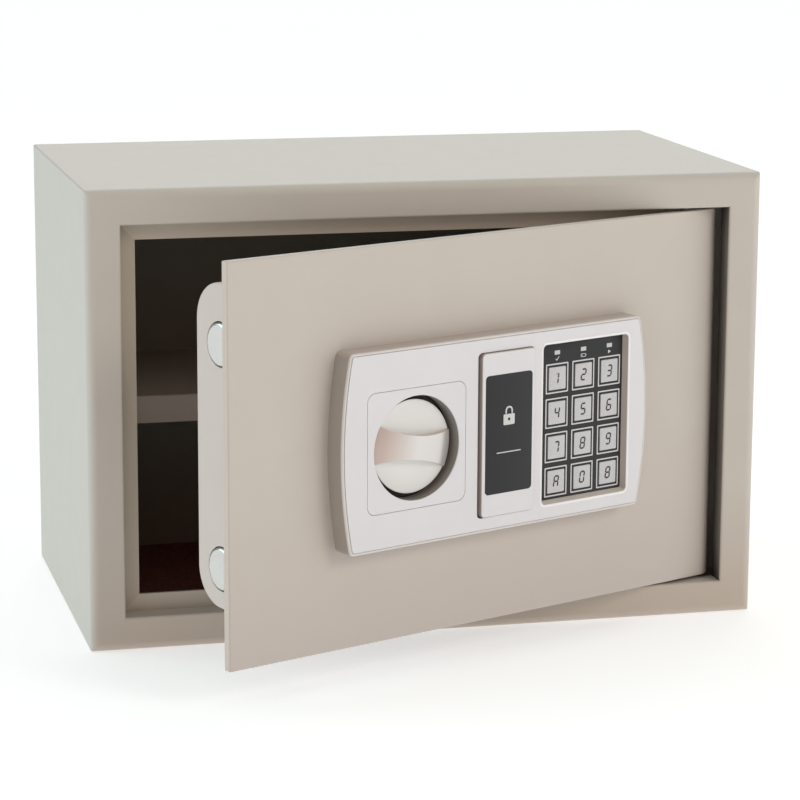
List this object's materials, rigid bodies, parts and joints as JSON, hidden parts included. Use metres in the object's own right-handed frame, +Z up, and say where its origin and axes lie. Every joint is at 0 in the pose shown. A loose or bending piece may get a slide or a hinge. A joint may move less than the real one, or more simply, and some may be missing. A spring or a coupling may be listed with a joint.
{
  "type": "in-room safe",
  "caption": "Small steel in-room safe: box cabinet with shelf and carpet, hinged door ajar with round bolts, keypad fascia, turn knob, hidden key lock and battery box.",
  "frame": {"origin": "centre of the four anchor holes in the underside, on the surface that the cabinet stands on", "axes": "+Z up, -Y out of the front, +X to the right seen from the front"},
  "size_m": [0.3, 0.2646, 0.2],
  "materials": {
    "cabinet_paint": "fine-textured satin powder coat",
    "door_paint": "fine-textured satin powder coat",
    "interior_paint": "satin powder coat",
    "zinc_steel": "bright zinc plate",
    "bolt_steel": "satin nickel plate",
    "fascia_plastic": "satin silver-grey lacquered plastic",
    "knob_satin": "satin pearl lacquered plastic",
    "overlay_dark": "printed polycarbonate film",
    "key_grey": "printed silver-grey key face",
    "lamp_lens": "frosted lamp window",
    "board_green": "circuit board",
    "coil_copper": "enamelled copper winding",
    "lock_brass": "turned brass",
    "battery_skin": "plain cell sleeve",
    "battery_black": "moulded black plastic",
    "carpet_red": "needle-felt carpet",
    "button_red": "moulded red button"
  },
  "bodies": {
    "cabinet": {"cabinet_shell": "cabinet_paint", "back_panel": "interior_paint", "door_stop_left": "cabinet_paint", "door_stop_top": "cabinet_paint", "door_stop_bottom": "cabinet_paint", "hinge_bracket_upper": "zinc_steel", "hinge_bracket_lower": "zinc_steel", "hinge_pin_upper": "zinc_steel", "hinge_pin_lower": "zinc_steel", "shelf_ledge_left": "interior_paint", "shelf_ledge_right": "interior_paint", "floor_carpet": "carpet_red"},
    "shelf": {"shelf": "interior_paint"},
    "door": {"door_plate": "door_paint", "hinge_knuckle_upper": "zinc_steel", "hinge_knuckle_lower": "zinc_steel", "lock_housing": "door_paint", "housing_screws": "zinc_steel", "bolt_guide": "zinc_steel", "knob_escutcheon": "fascia_plastic", "spindle_bush": "lock_brass", "fascia": "fascia_plastic", "fascia_screws": "zinc_steel", "keypad_overlay": "overlay_dark", "status_lamps": "lamp_lens", "keypad_board": "board_green", "key_cylinder": "lock_brass", "cylinder_nut": "zinc_steel", "solenoid_frame": "zinc_steel", "solenoid_coil": "coil_copper", "battery_box": "battery_black", "battery_cells": "battery_skin"},
    "knob": {"knob": "knob_satin", "knob_spindle": "zinc_steel", "crank_arm": "zinc_steel"},
    "bolt_work": {"bolt_lower": "bolt_steel", "bolt_upper": "bolt_steel", "bolt_carriage": "zinc_steel"},
    "emergency_cover": {"emergency_cover": "fascia_plastic", "cover_label": "overlay_dark"},
    "key_plug": {"key_plug": "lock_brass", "key_cam": "zinc_steel"},
    "solenoid_plunger": {"solenoid_plunger": "zinc_steel"},
    "battery_cover": {"battery_cover": "door_paint"},
    "reset_button": {"reset_button": "button_red"},
    "key_1": {"key_1": "key_grey"},
    "key_2": {"key_2": "key_grey"},
    "key_3": {"key_3": "key_grey"},
    "key_4": {"key_4": "key_grey"},
    "key_5": {"key_5": "key_grey"},
    "key_6": {"key_6": "key_grey"},
    "key_7": {"key_7": "key_grey"},
    "key_8": {"key_8": "key_grey"},
    "key_9": {"key_9": "key_grey"},
    "key_a": {"key_a": "key_grey"},
    "key_0": {"key_0": "key_grey"},
    "key_b": {"key_b": "key_grey"}
  },
  "joints": [
    {"name": "door_hinge", "type": "hinge", "parent": "cabinet", "child": "door", "pos_m": [0.1235, -0.0693, 0.1], "axis": [0, 0, 1], "range_deg": [-23.3, 69.7]},
    {"name": "shelf_lift", "type": "slide", "parent": "cabinet", "child": "shelf", "axis": [0, 0, 1], "range_m": [0, 0.02]},
    {"name": "knob_turn", "type": "hinge", "parent": "door", "child": "knob", "pos_m": [-0.02962, -0.14178, 0.0995], "axis": [0.3955, -0.9184, 0], "range_deg": [0, 90]},
    {"name": "bolt_throw", "type": "slide", "parent": "door", "child": "bolt_work", "axis": [-0.9184, -0.3955, 0], "range_m": [0, 0.017]},
    {"name": "cover_pull", "type": "slide", "parent": "door", "child": "emergency_cover", "axis": [0.3955, -0.9184, 0], "range_m": [0, 0.012]},
    {"name": "key_turn", "type": "hinge", "parent": "door", "child": "key_plug", "pos_m": [0.0141, -0.12295, 0.1], "axis": [0.3955, -0.9184, 0], "range_deg": [0, 90]},
    {"name": "plunger_lift", "type": "slide", "parent": "door", "child": "solenoid_plunger", "axis": [0, 0, 1], "range_m": [0, 0.005], "stiffness_N_per_m": 150, "springref_m": -0.002},
    {"name": "battery_cover_pull", "type": "slide", "parent": "door", "child": "battery_cover", "axis": [-0.3955, 0.9184, 0], "range_m": [0, 0.012]},
    {"name": "reset_press", "type": "slide", "parent": "door", "child": "reset_button", "axis": [0.3955, -0.9184, 0], "range_m": [0, 0.0012], "stiffness_N_per_m": 600, "springref_m": -0.0005},
    {"name": "key_1_press", "type": "slide", "parent": "door", "child": "key_1", "axis": [-0.3955, 0.9184, 0], "range_m": [0, 0.0004], "stiffness_N_per_m": 2000, "springref_m": -0.0002},
    {"name": "key_2_press", "type": "slide", "parent": "door", "child": "key_2", "axis": [-0.3955, 0.9184, 0], "range_m": [0, 0.0004], "stiffness_N_per_m": 2000, "springref_m": -0.0002},
    {"name": "key_3_press", "type": "slide", "parent": "door", "child": "key_3", "axis": [-0.3955, 0.9184, 0], "range_m": [0, 0.0004], "stiffness_N_per_m": 2000, "springref_m": -0.0002},
    {"name": "key_4_press", "type": "slide", "parent": "door", "child": "key_4", "axis": [-0.3955, 0.9184, 0], "range_m": [0, 0.0004], "stiffness_N_per_m": 2000, "springref_m": -0.0002},
    {"name": "key_5_press", "type": "slide", "parent": "door", "child": "key_5", "axis": [-0.3955, 0.9184, 0], "range_m": [0, 0.0004], "stiffness_N_per_m": 2000, "springref_m": -0.0002},
    {"name": "key_6_press", "type": "slide", "parent": "door", "child": "key_6", "axis": [-0.3955, 0.9184, 0], "range_m": [0, 0.0004], "stiffness_N_per_m": 2000, "springref_m": -0.0002},
    {"name": "key_7_press", "type": "slide", "parent": "door", "child": "key_7", "axis": [-0.3955, 0.9184, 0], "range_m": [0, 0.0004], "stiffness_N_per_m": 2000, "springref_m": -0.0002},
    {"name": "key_8_press", "type": "slide", "parent": "door", "child": "key_8", "axis": [-0.3955, 0.9184, 0], "range_m": [0, 0.0004], "stiffness_N_per_m": 2000, "springref_m": -0.0002},
    {"name": "key_9_press", "type": "slide", "parent": "door", "child": "key_9", "axis": [-0.3955, 0.9184, 0], "range_m": [0, 0.0004], "stiffness_N_per_m": 2000, "springref_m": -0.0002},
    {"name": "key_a_press", "type": "slide", "parent": "door", "child": "key_a", "axis": [-0.3955, 0.9184, 0], "range_m": [0, 0.0004], "stiffness_N_per_m": 2000, "springref_m": -0.0002},
    {"name": "key_0_press", "type": "slide", "parent": "door", "child": "key_0", "axis": [-0.3955, 0.9184, 0], "range_m": [0, 0.0004], "stiffness_N_per_m": 2000, "springref_m": -0.0002},
    {"name": "key_b_press", "type": "slide", "parent": "door", "child": "key_b", "axis": [-0.3955, 0.9184, 0], "range_m": [0, 0.0004], "stiffness_N_per_m": 2000, "springref_m": -0.0002}
  ],
  "couplings": [
    {"joint": "knob_turn", "follows": "bolt_throw", "rad_per_m": 92.399}
  ]
}
